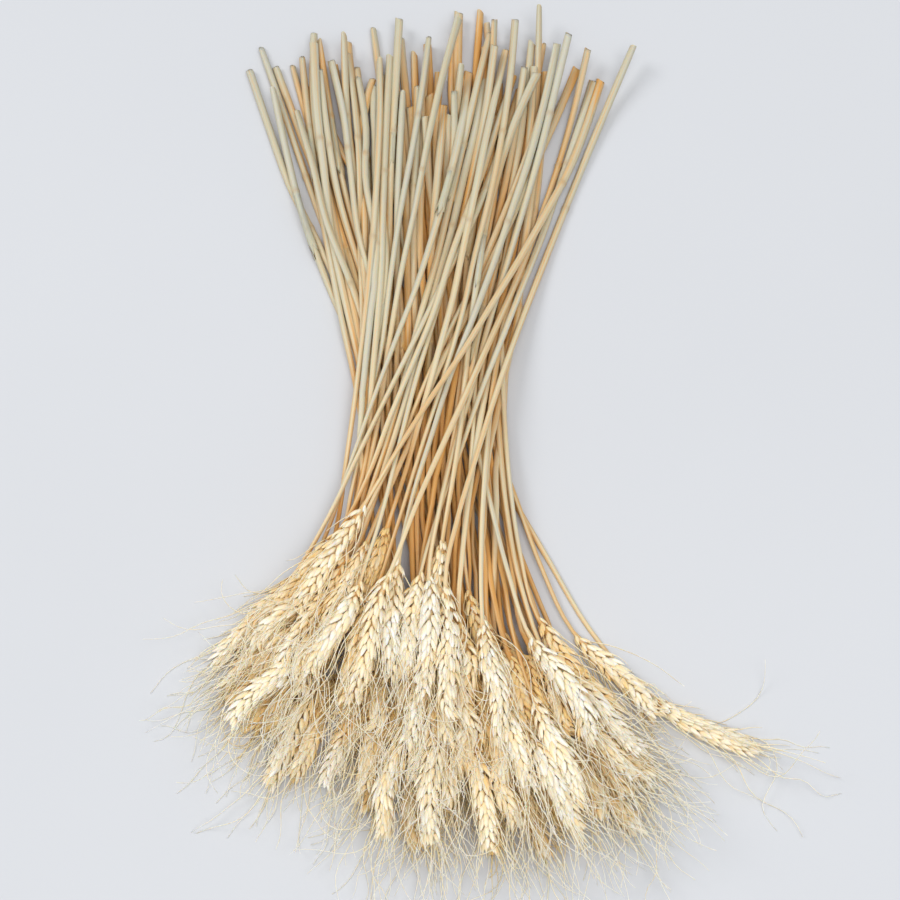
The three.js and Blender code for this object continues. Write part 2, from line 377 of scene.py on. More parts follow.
# %% Making room
ROUNDS = 220
ROOM = 0.2 * MM
STIFF_OVER = 16  # planes that share a push, to each side
GIVES_WAY = 0.6  # how much of an overlap a stalk takes back in one round


def make_room():
    """Moves the inner stalks aside, and returns how far in each plane, and how deep each still overlaps."""
    cuts = np.array([cut_by_planes(*stalk, planes) for stalk in outer + blends])
    x, z, radius, slant = cuts.transpose(1, 0, 2)
    inner = slice(len(outer), None)
    there = ~np.isnan(x)
    reach = np.arange(-STIFF_OVER, STIFF_OVER + 1)
    share = np.exp(-0.5 * (2.2 * reach / STIFF_OVER) ** 2)
    moved = np.zeros((2, len(blends), len(planes)))

    def along(values):
        """Shares values with the neighbouring planes that the stalk reaches."""
        return np.array([np.convolve(np.where(m, v, 0), share, "same") / np.convolve(m, share, "same").clip(1e-9)
                         for v, m in zip(values, there[inner])])

    for _ in range(ROUNDS):
        here_x, here_z = x.copy(), z.copy()
        here_x[inner] += moved[0]
        here_z[inner] += moved[1]
        dx = here_x[inner][:, None] - here_x[None]
        dz = here_z[inner][:, None] - here_z[None]
        dx *= np.minimum(slant[inner][:, None], slant[None])
        apart = np.hypot(dx, dz)
        wanted = radius[inner][:, None] + radius[None] + ROOM
        over = np.nan_to_num(np.clip(wanted - apart, 0, None))
        over[np.arange(len(blends)), len(outer) + np.arange(len(blends))] = 0
        push = over / np.maximum(np.nan_to_num(apart, nan=1.0), 1e-6)
        moved[0] += along((push * np.nan_to_num(dx)).sum(1)) * GIVES_WAY
        moved[1] += along((push * np.nan_to_num(dz)).sum(1)) * GIVES_WAY
        floor = np.nan_to_num(np.clip(radius[inner] - here_z[inner], 0, None))
        moved[1] += along(floor)
    deepest = over.max(axis=(1, 2))
    return moved, deepest


moved, deepest = make_room()
print("still overlapping by", np.round(np.sort(deepest)[::-1][:8] / MM, 2), "mm at the worst")


# %% The inner stalks
INNER_KNUCKLE = 0.4 * MM  # how far it stands out
KNUCKLE_STATIONS = [6, 16]  # where it may be


def moved_stalk(n):
    """Inner stalk n in its new place."""
    points, radii = blends[n]
    points = points.copy()
    for axis, shift in ((0, moved[0][n]), (2, moved[1][n])):
        points[:, axis] += np.interp(-points[:, 1], -planes, shift)
    points[:, 2] = np.maximum(points[:, 2], radii)
    radii = radii.copy()
    radii[random.integers(*KNUCKLE_STATIONS)] += INNER_KNUCKLE
    return points, radii


def thinned(points, radii):
    """Keeps the rings that a solid stalk has past its neck: the neck, four of the ear, and the two tips."""
    past_neck = [0, 1, 3, 5, 7, EAR_STEPS, EAR_STEPS + BEARD_STEPS]
    kept = [*range(STRAW_STATIONS), *(STRAW_STATIONS + k for k in past_neck)]
    return points[kept], radii[kept]


inner_stalks = [Stalk(*thinned(*moved_stalk(n))) for n in range(INNER_STALKS)]
print(len(inner_stalks), "inner stalks, ears", [round((s.ear_tip - s.neck) / MM) for s in inner_stalks[:6]], "mm")

# %% [markdown]
# ## A blank straw
#
# A straw is a thin tube with a knuckle in it and a hollow, slantwise cut end. All straws are the same mesh in
# different sizes, so one blank is made with bmesh operators, and each stalk gets a copy that is scaled ring by
# ring and bent. In the blank, a ring's height is simply its number, and its radius is one.
#
# The blank starts as a filled circle, the cut. An inset leaves the straw's wall, and the face inside it is
# extruded inwards for the hollow. The outer edge is extruded once for every ring.

# %% The blank straw
STRAW_SIDES = 12
STRAW_RINGS = 58
BORE = 3  # how many rings deep the hollow of the cut end is
WALL = 0.34  # of the radius


def extruded(bm, edges, rings):
    """Extrudes a loop of edges upwards, one unit for each ring, and returns the last loop."""
    for _ in range(rings):
        made = bmesh.ops.extrude_edge_only(bm, edges=edges)["geom"]
        bmesh.ops.translate(bm, verts=[g for g in made if isinstance(g, bmesh.types.BMVert)], vec=(0, 0, 1))
        edges = [g for g in made if isinstance(g, bmesh.types.BMEdge)]
    return edges


def straw_blank():
    """A straw whose ring k is at height k, with a hollow at its cut end."""
    bm = bmesh.new()
    bmesh.ops.create_circle(bm, cap_ends=True, segments=STRAW_SIDES, radius=1)
    cut = bm.faces[:]
    top = extruded(bm, bm.edges[:], STRAW_RINGS - 1)
    bmesh.ops.contextual_create(bm, geom=top)
    bmesh.ops.inset_region(bm, faces=cut, thickness=WALL, use_even_offset=True)
    hollow = bmesh.ops.extrude_face_region(bm, geom=cut)["geom"]
    bmesh.ops.translate(bm, verts=[g for g in hollow if isinstance(g, bmesh.types.BMVert)], vec=(0, 0, BORE))
    bmesh.ops.recalc_face_normals(bm, faces=bm.faces)
    for edge in bm.edges:
        edge.smooth = max(v.co.z for v in edge.verts) > 0.5
    return bm


# %% [markdown]
# ## A torn sheath
#
# A leaf wraps the straw above each knuckle. The leaves were stripped off, and on some stalks a torn piece of
# that sleeve is left. It is three quarters of a tube with a ragged end, made thick by the solidify operator.

# %% The blank sheath
SHEATH_RINGS = 9
SHEATH_OPEN = 3  # sides of the tube that are torn away


def sheath_blank():
    """Part of a sleeve round the straw, with rings one unit apart."""
    bm = bmesh.new()
    bmesh.ops.create_circle(bm, segments=STRAW_SIDES, radius=1)
    bm.edges.ensure_lookup_table()
    torn = bm.edges[:SHEATH_OPEN]
    bmesh.ops.delete(bm, geom=torn, context="EDGES")
    bmesh.ops.delete(bm, geom=[v for v in bm.verts if not v.link_edges], context="VERTS")
    extruded(bm, bm.edges[:], SHEATH_RINGS - 1)
    bmesh.ops.recalc_face_normals(bm, faces=bm.faces)
    bmesh.ops.solidify(bm, geom=bm.faces[:], thickness=0.09)
    bmesh.ops.recalc_face_normals(bm, faces=bm.faces)
    return bm


def as_mesh(bm, name):
    """A bmesh as a mesh, with smooth faces."""
    for face in bm.faces:
        face.smooth = True
    mesh = bpy.data.meshes.new(name)
    bm.to_mesh(mesh)
    bm.free()
    return mesh


def places_in(mesh):
    """A mesh's vertices as an array."""
    found = np.empty(len(mesh.vertices) * 3, np.float32)
    mesh.vertices.foreach_get("co", found)
    return found.reshape(-1, 3).astype(float)


def repeated(blanks, name):
    """One mesh that holds each blank as many times as asked, one after the other."""
    bm = bmesh.new()
    for mesh, times in blanks:
        for _ in range(times):
            bm.from_mesh(mesh)
    return as_mesh(bm, name)


straw_mesh = as_mesh(straw_blank(), "straw blank")
sheath_mesh = as_mesh(sheath_blank(), "sheath blank")
sheathed_mesh = repeated([(straw_mesh, 1), (sheath_mesh, 1)], "sheathed blank")
for edge_from, edge_to in zip(straw_mesh.edges, sheathed_mesh.edges):
    edge_to.use_edge_sharp = edge_from.use_edge_sharp
print("straw", len(straw_mesh.polygons), "faces, sheath", len(sheath_mesh.polygons), "faces")

# %% [markdown]
# ## A blank husk
#
# The ear is made of husks: boat-shaped scales with a keel outside, a flat side towards the ear and a pointed tip.
# A husk is seen hundreds of times, so it has only a few dozen faces. It starts as a small sphere between two
# poles, which is squashed on the inside, drawn to a point and bent over a little.

# %% The blank husk
HUSK_ROUND = 8
HUSK_RINGS = 5
HUSK_BEND = 0.42  # how far the tip leans inwards, in half-widths


def husk_blank():
    """A husk from its base at 0 to its tip at height 1, one half-width to each side, its keel towards +Y."""
    bm = bmesh.new()
    bmesh.ops.create_uvsphere(bm, u_segments=HUSK_ROUND, v_segments=HUSK_RINGS, radius=1)
    bmesh.ops.rotate(bm, verts=bm.verts, matrix=Matrix.Rotation(math.pi / 2, 3, "Z"))
    bmesh.ops.scale(bm, verts=bm.verts, vec=(1, 1, 0.5))
    bmesh.ops.translate(bm, verts=bm.verts, vec=(0, 0, 0.5))
    for vert in bm.verts:
        x, y, up = vert.co
        narrow = 1.15 - 0.6 * up**1.5
        keel = 0.95 if y > 0.9 * math.hypot(x, y) else 0.66
        vert.co = (x * narrow, y * narrow * (keel if y > 0 else 0.22) - HUSK_BEND * up * up, up)
    bmesh.ops.recalc_face_normals(bm, faces=bm.faces)
    return bm


# %% [markdown]
# ## A blank awn
#
# Every grain's husk ends in an awn, a bristle as fine as a thread and as long as the ear. There are thousands,
# so each is a triangle extruded a few times, with the same trick as the straw: height is the ring's number.

# %% The blank awn, and all of an ear
AWN_RINGS = 13
SPIKELETS = 22
# Six husks to a spikelet. Each row: how far out and how far to the front it begins, how far up, how far it
# leans out and to the front (degrees), its length and half-width, and which way its keel faces (out, front).
HUSKS = np.array([
    [0.7, 2.3, 0.0, 15, 15, 8.6, 1.85, 0.35, 0.94],
    [0.7, -2.3, 0.0, 15, -15, 8.6, 1.85, 0.35, -0.94],
    [1.6, 1.7, 1.2, 22, 13, 10.6, 1.9, 0.6, 0.8],
    [1.6, -1.7, 1.2, 22, -13, 10.6, 1.9, 0.6, -0.8],
    [2.5, 0.7, 2.6, 28, 6, 9.2, 1.7, 0.9, 0.45],
    [2.5, -0.7, 2.6, 28, -6, 9.2, 1.7, 0.9, -0.45],
])
AWNED = [2, 3]  # the husks that end in an awn


def awn_blank():
    """A bristle of three sides."""
    bm = bmesh.new()
    bmesh.ops.create_circle(bm, cap_ends=True, segments=3, radius=1)
    top = extruded(bm, bm.edges[:], AWN_RINGS - 1)
    bmesh.ops.contextual_create(bm, geom=top)
    bmesh.ops.recalc_face_normals(bm, faces=bm.faces)
    for face in bm.faces:
        face.material_index = 1
    return bm


husk_mesh = as_mesh(husk_blank(), "husk blank")
awn_mesh = as_mesh(awn_blank(), "awn blank")
ear_mesh = repeated([(husk_mesh, SPIKELETS * len(HUSKS)), (awn_mesh, SPIKELETS * len(AWNED))], "ear blank")
husk_points, awn_points = places_in(husk_mesh), places_in(awn_mesh)
print("husk", len(husk_mesh.polygons), "faces, awn", len(awn_mesh.polygons), "faces, ear", len(ear_mesh.polygons))

# %% [markdown]
# ## The finishes
#
# Straw, husk and awn are the same dry plant: long fibres, pale where the sun and the bleach have reached and
# golden where they haven't, and more golden still deep in the sheaf, which is painted warm shade for the gaps.
# That is one shader node group, "dry fibre", which all three materials use with their own sizes. It reads two
# things that every piece carries in its mesh: "grown", where the point was on the straight, unbent plant, so that
# the fibres follow every bend, and "part", which holds how far along its part the point is, the tone of this straw
# or husk with the painted shade of depth added to it, and a mark for places such as a knuckle, which also paints
# shade into the hollow cut end and the foot of each husk.


# %% The dry fibre group
def dry_fibre_group():
    """Fibres along the plant: a fine streak, a broad one, and how golden the place is, with its painted shade of
    depth.
    """
    group = bpy.data.node_groups.new("dry fibre", "ShaderNodeTree")
    for name in ("Fineness", "Length", "Bleach"):
        group.interface.new_socket(name=name, in_out="INPUT", socket_type="NodeSocketFloat")
    for name in ("Streak", "Golden", "Cool", "Share", "Mark"):
        group.interface.new_socket(name=name, in_out="OUTPUT", socket_type="NodeSocketFloat")
    given = add_node(group, "NodeGroupInput")
    grown = add_node(group, "ShaderNodeAttribute", attribute_name="grown")
    part = add_node(group, "ShaderNodeAttribute", attribute_name="part")
    split = add_node(group, "ShaderNodeSeparateXYZ", {"Vector": part.outputs["Vector"]})
    sizes = add_node(group, "ShaderNodeCombineXYZ", {
        "X": given.outputs["Fineness"], "Y": given.outputs["Fineness"], "Z": given.outputs["Length"]})
    drawn = add_node(group, "ShaderNodeVectorMath", {0: grown.outputs["Vector"], 1: sizes.outputs["Vector"]},
                     operation="MULTIPLY")
    fine = add_node(group, "ShaderNodeTexNoise", {
        "Vector": drawn.outputs["Vector"], "Scale": 1.0, "Detail": 3.0, "Roughness": 0.6})
    broad = add_node(group, "ShaderNodeTexNoise", {
        "Vector": drawn.outputs["Vector"], "Scale": 0.23, "Detail": 1.0})
    # Golden where the tone, which holds the painted shade of depth, the broad streaks and a little of the fine ones
    # say so.
    strong = add_node(group, "ShaderNodeMapRange", {"Value": broad.outputs["Fac"], "From Min": 0.25, "From Max": 0.75})
    tone = add_node(group, "ShaderNodeMath", {0: strong.outputs["Result"], 1: split.outputs["Y"]}, operation="ADD")
    level = add_node(group, "ShaderNodeMath", {0: fine.outputs["Fac"], 1: 0.35, 2: tone.outputs["Value"]},
                     operation="MULTIPLY_ADD")
    golden = add_node(group, "ShaderNodeMath", {0: level.outputs["Value"], 1: given.outputs["Bleach"]},
                      operation="SUBTRACT", use_clamp=True)
    cool = add_node(group, "ShaderNodeMath", {0: given.outputs["Bleach"], 1: level.outputs["Value"]},
                    operation="SUBTRACT", use_clamp=True)
    cooler = add_node(group, "ShaderNodeMath", {0: cool.outputs["Value"], 1: 2.0}, operation="MULTIPLY",
                      use_clamp=True)
    add_node(group, "NodeGroupOutput", {
        "Streak": fine.outputs["Fac"], "Golden": golden.outputs["Value"], "Cool": cooler.outputs["Value"],
        "Share": split.outputs["X"], "Mark": split.outputs["Z"]})
    return group


dry_fibre = dry_fibre_group()
print("node group:", dry_fibre.name, "with", len(dry_fibre.nodes), "nodes")


# %% A dry plant material
def plant_material(name, pale, along, golden, cool, mark_and_shade_colour, fineness, length, bleach, roughness, bump):
    """Dry fibres: pale at the part's near end, another colour along it, golden or cool by tone, more golden with the
    painted shade of depth, and marked, with marks that also paint shade.
    """
    material, tree, output = new_material(name)
    fibre = add_node(tree, "ShaderNodeGroup", node_tree=dry_fibre)
    fibre.inputs["Fineness"].default_value = fineness
    fibre.inputs["Length"].default_value = length
    fibre.inputs["Bleach"].default_value = bleach

    def mixed(share, one, other):
        node = add_node(tree, "ShaderNodeMix", data_type="RGBA")
        tree.links.new(share, node.inputs["Factor"])
        for socket, colour in ((node.inputs[6], one), (node.inputs[7], other)):
            if isinstance(colour, bpy.types.NodeSocket):
                tree.links.new(colour, socket)
            else:
                socket.default_value = (*colour, 1)
        return node.outputs[2]

    colour = mixed(fibre.outputs["Share"], pale, along)
    colour = mixed(fibre.outputs["Cool"], colour, cool)
    # Golden is the plant's own tone together with the painted shade of depth.
    colour = mixed(fibre.outputs["Golden"], colour, golden)
    # The mark colour paints real marks such as the knuckle, and painted shade in the hollow cut end and under the
    # husks.
    colour = mixed(fibre.outputs["Mark"], colour, mark_and_shade_colour)
    rough = add_node(tree, "ShaderNodeMapRange", {
        "Value": fibre.outputs["Streak"], "From Min": 0.3, "From Max": 0.7,
        "To Min": roughness[0], "To Max": roughness[1]})
    raised = add_node(tree, "ShaderNodeBump", {
        "Height": fibre.outputs["Streak"], "Strength": 0.6, "Distance": bump})
    shader = add_node(tree, "ShaderNodeBsdfPrincipled", {
        "Base Color": colour, "Roughness": rough.outputs["Result"], "Normal": raised.outputs["Normal"],
        "Specular IOR Level": 0.35, "Subsurface Weight": 0.25, "Subsurface Radius": (1.0, 0.5, 0.22),
        "Subsurface Scale": 2 * MM})
    tree.links.new(shader.outputs["BSDF"], output.inputs["Surface"])
    return material


straw_material = plant_material(
    "bleached straw", pale=(0.52, 0.49, 0.36), along=(0.76, 0.65, 0.42), golden=(0.68, 0.37, 0.11),
    cool=(0.54, 0.53, 0.44), mark_and_shade_colour=(0.40, 0.25, 0.11), fineness=3200, length=45, bleach=0.72,
    roughness=(0.36, 0.58), bump=0.14 * MM)
# The husk's near-end colour and its mark colour make its foot golden where it is tucked under the husk below: partly
# the husk's own colour, partly painted shade.
husk_material = plant_material(
    "bleached husk", pale=(0.95, 0.79, 0.51), along=(0.98, 0.91, 0.77), golden=(0.95, 0.65, 0.28),
    cool=(0.97, 0.94, 0.88), mark_and_shade_colour=(0.88, 0.58, 0.25), fineness=1900, length=150, bleach=0.66,
    roughness=(0.42, 0.66), bump=0.3 * MM)
awn_material = plant_material(
    "bleached awn", pale=(0.98, 0.87, 0.62), along=(0.99, 0.94, 0.79), golden=(0.97, 0.74, 0.40),
    cool=(0.98, 0.96, 0.88), mark_and_shade_colour=(0.90, 0.70, 0.40), fineness=2600, length=90, bleach=0.64,
    roughness=(0.40, 0.6), bump=0.03 * MM)
for blank in (straw_mesh, sheathed_mesh):
    blank.materials.append(straw_material)
for material in (husk_material, awn_material):
    ear_mesh.materials.append(material)
print("materials:", [m.name for m in (straw_material, husk_material, awn_material)])

# %% [markdown]
# ## Growing the straws
#
# A straw's rings are close together where something happens, at the cut and round the knuckle, and far apart
# elsewhere. The knuckle swells, with a small groove above and below it where the sheath sat. A hollow straw that
# dries under others goes flat, and its flat side winds slowly round it, so it is broad here and narrow there. The
# cut is slanted and the end a little crushed, as scissors leave it, and its hollow is darkened with painted shade.
# Past the neck the straw runs on inside the ear, swollen with the feet of the grains, and painted a deeper golden:
# painted warm shade for the gaps between the husks.

# %% One straw
CUT_PLACES = np.array([0, 0.4, 1.6, 5]) * MM
KNUCKLE_PLACES = np.array([-6, -3.4, -2, -1, 0, 1, 2, 3.4, 6]) * MM
SHEATH_SHARE = 0.3  # of the stalks have a torn sheath
EAR_CORE = 1.6 * MM  # how much thicker the stalk is inside the ear, with the feet of the grains


def thickness(stalk, s):
    """The straw's radius with its knuckle."""
    off = (s - stalk.knuckle) / MM
    swell = 0.34 * np.exp(-((off / 1.6) ** 2)) - 0.1 * np.exp(-(((np.abs(off) - 3.6) / 1.1) ** 2))
    inside = np.clip((s - stalk.neck) / (stalk.ear_tip - stalk.neck), 0, 1)
    wider = 1.04 + 0.14 * np.exp(-((s / (200 * MM)) ** 2))
    core = EAR_CORE * np.sqrt(np.sin(math.pi * inside))
    return stalk.straw_radius(np.minimum(s, stalk.neck)) * wider * (1 - 0.55 * inside) + core + swell * MM


def straight_straw(stalk):
    """The straw before it is bent, with its knuckle's mark and painted shade in its hollow cut end."""
    end = stalk.neck + 0.8 * (stalk.ear_tip - stalk.neck)
    even = np.linspace(CUT_PLACES[-1], end, STRAW_RINGS - len(CUT_PLACES) - len(KNUCKLE_PLACES) + 1)[1:]
    places = np.sort(np.concatenate([CUT_PLACES, stalk.knuckle + KNUCKLE_PLACES, even]))
    blank = places_in(straw_mesh)
    s = np.interp(blank[:, 2], np.arange(STRAW_RINGS), places)
    around = blank[:, :2] * thickness(stalk, s)[:, None]
    # Dried flat, with the flat side winding slowly round.
    flat, winding = random.uniform(0.04, 0.34), random.normal(0, 3) * s
    short = np.column_stack([np.cos(winding), np.sin(winding)])
    around = around * (1 + 0.3 * flat) - short * (flat * (around * short).sum(1))[:, None]
    # The crushed, slanted cut.
    near_cut = np.exp(-s / (9 * MM))
    crush, slant = random.uniform(0, 0.35), random.uniform(-1.5, 1.5)
    around[:, 0] *= 1 - crush * near_cut
    around[:, 1] *= 1 + 0.5 * crush * near_cut
    s = s + (blank[:, 2] < 0.5) * slant * around[:, 1]
    s -= s.min() * np.exp(-s / (9 * MM))
    # Painted shade: the inside of the hollow cut end takes the dark mark colour.
    bore_shade = np.hypot(*blank[:, :2].T) < 0.9
    mark_and_shade = np.maximum(0.4 * np.exp(-(((s - stalk.knuckle) / MM / 1.9) ** 2)), bore_shade * 0.8)
    return np.column_stack([around, s]), mark_and_shade


def straight_sheath(stalk):
    """The torn sleeve before it is bent: loose round the straw, ragged at its end."""
    blank = places_in(sheath_mesh)
    share = blank[:, 2] / (SHEATH_RINGS - 1)
    angle = np.arctan2(blank[:, 1], blank[:, 0])
    long = random.uniform(16, 52) * MM
    ragged = 1 - 0.3 * np.abs(np.sin(angle * 2.5 + random.uniform(0, 6))) * share
    s = stalk.knuckle + 1.2 * MM + share * ragged * long
    loose = 1.1 + 0.05 * share + random.uniform(0.02, 0.4) * share**3
    return np.column_stack([blank[:, :2] * (stalk.straw_radius(s) * loose)[:, None], s]), 0.12 * share


def write_attribute(mesh, name, values):
    """A vector for each vertex, for the materials to read."""
    mesh.attributes.new(name, "FLOAT_VECTOR", "POINT").data.foreach_set(
        "vector", np.ascontiguousarray(values, np.float32).ravel())


def turned(points, angle):
    """Points turned about the upright axis."""
    c, s = math.cos(angle), math.sin(angle)
    return points @ np.array([[c, s, 0], [-s, c, 0], [0, 0, 1]])


def finished(mesh, name, places, grown, part, slot, node):
    """The piece: the blank's copy with its vertices in place."""
    mesh.name = name
    mesh.vertices.foreach_set("co", np.ascontiguousarray(places, np.float32).ravel())
    write_attribute(mesh, "grown", grown)
    write_attribute(mesh, "part", part)
    mesh.update()
    piece = bpy.data.objects.new(name, mesh)
    bpy.context.scene.collection.objects.link(piece)
    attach(piece, "root")
    if node:
        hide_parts(node)
    return piece


# %% [markdown]
# The sun and the bleach reached the stalks that lie on top, and further down in the sheaf the plants kept their
# golden brown. More golden with depth is also painted warm shade, which makes the gaps look so warm. So every
# piece needs to know how deep it is buried.
# A coarse map of the table holds how high the sheaf reaches over each small square, and a point's depth is how
# far it lies below that.

# %% How deep a place is buried
SQUARE = 6 * MM
DEPTH = [3 * MM, 13 * MM]  # where the painted shade of depth begins, and where it is full
map_corner = np.array(cad_box[0][:2]) - 6 * SQUARE
map_shape = np.ceil((np.array(cad_box[1][:2]) + 6 * SQUARE - map_corner) / SQUARE).astype(int)


def height_map():
    """How high the sheaf reaches over each square, smoothed over its neighbours."""
    heights = np.zeros(map_shape)
    for stalk in stalks + inner_stalks:
        s = np.arange(0, stalk.ear_tip, 2 * MM)
        places, _ = stalk.line(s)
        cell = ((places[:, :2] - map_corner) / SQUARE).astype(int)
        np.maximum.at(heights, tuple(cell.T), places[:, 2] + np.interp(s, stalk.at, stalk.radii))
    for reduce in (np.max, np.mean, np.mean):
        padded = np.pad(heights, 1, mode="edge")
        windows = np.lib.stride_tricks.sliding_window_view(padded, (3, 3))
        heights = reduce(windows, axis=(2, 3))
    return heights


heights = height_map()


def depth_shade(places):
    """How much painted shade of depth a place gets: from 0 on top of the sheaf to 1 deep inside it."""
    at = np.clip((places[..., :2] - map_corner) / SQUARE - 0.5, 0, map_shape - 2)
    cell = at.astype(int)
    x, y = (at - cell)[..., 0], (at - cell)[..., 1]
    i, j = cell[..., 0], cell[..., 1]
    top = (heights[i, j] * (1 - x) + heights[i + 1, j] * x) * (1 - y) \
        + (heights[i, j + 1] * (1 - x) + heights[i + 1, j + 1] * x) * y
    return np.clip((top - places[..., 2] - DEPTH[0]) / (DEPTH[1] - DEPTH[0]), 0, 1)


print("the sheaf reaches", round(heights.max() / MM), "mm up over", map_shape.tolist(), "squares")

# %% All straws
TONES = {}
TONE_SPREAD = 0.16  # how much the stalks differ in colour
DEPTH_SHADE_TONE = 0.9  # painted shade: how much more golden the deepest places are
CORE_SHADE_TONE = 0.4  # painted shade: how much more golden the stalk is inside its ear, where it shows between the husks


def above_table(heights):
    """Heights with the table's share taken out: what would sink into it lies flat on it instead."""
    soft = 1.2 * MM
    return np.where(heights < soft, soft * np.exp(np.minimum(heights / soft - 1, 0)), heights)


def grow_straw(stalk, name):
    """One straw, with or without a sheath."""
    straight, mark_and_shade = straight_straw(stalk)
    mesh = straw_mesh
    if random.random() < SHEATH_SHARE:
        sheath, sheath_mark = straight_sheath(stalk)
        straight, mark_and_shade, mesh = np.vstack([straight, sheath]), np.append(mark_and_shade, sheath_mark), sheathed_mesh
    tone = TONES[name] = random.normal(0, TONE_SPREAD)
    grown = straight + random.uniform(0, 1, 3)
    places = bend(turned(straight, random.uniform(0, 2 * math.pi)), stalk.line)
    places[:, 2] = np.maximum(places[:, 2], 0)
    share = np.clip(straight[:, 2] / stalk.neck, 0, 1)
    # The tone takes painted warm shade with depth, and inside the ear where it shows between the husks.
    part = np.column_stack([share, tone + DEPTH_SHADE_TONE * depth_shade(places) + CORE_SHADE_TONE * (share == 1), mark_and_shade])
    return finished(mesh.copy(), name, places, grown, part, "straw", stalk.node)


straws = [grow_straw(s, f"straw_{n + 1:02d}") for n, s in enumerate(stalks)]
straws += [grow_straw(s, f"inner_straw_{n + 1:02d}") for n, s in enumerate(inner_stalks)]
print(len(straws), "straws,", sum(len(s.data.vertices) > len(straw_mesh.vertices) for s in straws), "with a sheath")

# %% [markdown]
# ## Growing the ears
#
# Spikelets sit left and right of the ear's axis in turn, and each is a small fan of six husks that opens to the
# front and the back: two low ones that clasp the rest, two that hold the big grains and end in an awn, and two
# plain ones further out. So the ear shows a herringbone from its face and a column of fans from its side. They
# are small at the base, full in the middle and small again at the tip. All of it is laid out round a straight
# axis and bent at the end.

# %% The husks of one ear
FULLNESS = ([0, 0.1, 0.3, 0.72, 1], [0.5, 0.76, 1, 0.95, 0.7])
EAR_RADIUS = 5.4 * MM  # that the rows of HUSKS are meant for


def spikelets():
    """For each husk of an ear: its spikelet's share along the ear, its side, and its row."""
    spikelet, row = np.divmod(np.arange(SPIKELETS * len(HUSKS)), len(HUSKS))
    return (spikelet + 0.15) / SPIKELETS, np.where(spikelet % 2, 1.0, -1.0), HUSKS[row]


def straight_husks(stalk):
    """Base, frame and size of every husk of a straight ear, and its points."""
    share, side, row = spikelets()
    out, front, up, lean_out, lean_front, long, wide, face_out, face_front = row.T
    count = len(share)
    full = np.interp(share, *FULLNESS) * random.uniform(0.9, 1.1, count)
    size = full * stalk.ear_radius / EAR_RADIUS
    length = stalk.ear_tip - stalk.neck
    base = np.column_stack([
        side * out * size, front * size, (share * 0.9 * length) / MM + up * full]) * MM
    lean_out = np.radians(lean_out * (1 - 0.35 * share) + random.normal(0, 5, count))
    lean_front = np.radians(lean_front + random.normal(0, 5, count))
    ahead = unit(np.column_stack([side * np.tan(lean_out), np.tan(lean_front), np.ones(count)]))
    face = np.column_stack([side * face_out, face_front + random.normal(0, 0.1, count), np.zeros(count)])
    face = unit(face - (face * ahead).sum(1, keepdims=True) * ahead)
    across = np.cross(face, ahead)
    long, wide = long * full * MM, wide * size * MM
    x, y, z = husk_points.T
    points = base[:, None] + across[:, None] * (x * wide[:, None])[..., None] \
        + face[:, None] * (y * wide[:, None])[..., None] + ahead[:, None] * (z * long[:, None])[..., None]
    tips = base + ahead * (long * 0.96)[:, None] - face * (HUSK_BEND * wide)[:, None]
    grown = np.stack([x * wide[:, None], y * wide[:, None], z * long[:, None]], -1)
    return points, tips, ahead, grown


# %% [markdown]
# An awn leaves its husk in the husk's own direction, swings round to run nearly along the ear, and wavers as it
# goes. A few have curled up in drying, and more than half have snapped off, as they do when the wheat is handled.
# The ones that reach the table lie on it. No awn may leave the room that the bundle has, so one that would is
# made shorter.

# %% The awns of one ear
AWN_LONGEST = 72 * MM
AWN_BASE, AWN_TIP = 0.38 * MM, 0.19 * MM
AWN_SETTLES = 14 * MM  # how soon an awn has left its husk's direction
CURLED = 0.12  # share of the awns
AWN_UP = unit(np.array([0.17, 0.31, 0.94]))  # hardly any awn runs along this
BROKEN = 0.62  # share of the awns that have snapped off


def awn_paths(start, ahead, stalk, share, shorter, random):
    """The middles of every awn's rings, round the straight ear."""
    count = len(start)
    u = np.linspace(0, 1, AWN_RINGS)
    left = (1 - share) * (stalk.ear_tip - stalk.neck) + (stalk.beard_tip - stalk.ear_tip)
    long = np.minimum(left * random.uniform(0.7, 1.2, count), AWN_LONGEST * random.uniform(0.75, 1, count))
    long = long * np.where(random.random(count) < BROKEN, random.uniform(0.04, 0.45, count), 1) * shorter
    s = (long[:, None] * u)[:, None]
    # Two angles away from the ear: the husk's own, a new one, a steady bow and a sway.
    first = np.arctan2(ahead[:, :2], ahead[:, 2:])[..., None]
    then = np.radians(random.normal(0, 15, (count, 2)))[..., None]
    bow = random.normal(0, 9, (count, 2)) * np.where(random.random((count, 1)) < CURLED, 5, 1)
    sway = np.radians(random.uniform(5, 26, (count, 2)))[..., None]
    waves = 2 * math.pi / (random.uniform(22, 60, (count, 2)) * MM)[..., None]
    begin = random.uniform(0, 2 * math.pi, (count, 2))[..., None]
    settled = 1 - np.exp(-s / AWN_SETTLES)
    angle = first * (1 - settled) + then * settled + bow[..., None] * s + sway * settled * np.sin(waves * s + begin)
    x, y = angle.transpose(1, 0, 2)
    way = np.stack([np.sin(x) * np.cos(y), np.sin(y), np.cos(x) * np.cos(y)], -1)
    steps = way[:, :-1] * (long / (AWN_RINGS - 1))[:, None, None]
    return np.concatenate([np.zeros((count, 1, 3)), np.cumsum(steps, axis=1)], axis=1) + start[:, None]


OVER_BOX = 7 * MM  # how far the awns may reach past the solids' box


def inside_room(points):
    """How far along each path the last place is that is still inside the bundle's room, as a share."""
    low, high = (np.array(corner) for corner in cad_box)
    out = ((points < low - OVER_BOX) | (points > high + OVER_BOX)).any(-1)
    first = np.where(out.any(1), out.argmax(1), points.shape[1])
    return np.clip((first - 1) / (points.shape[1] - 1), 0.05, 1)


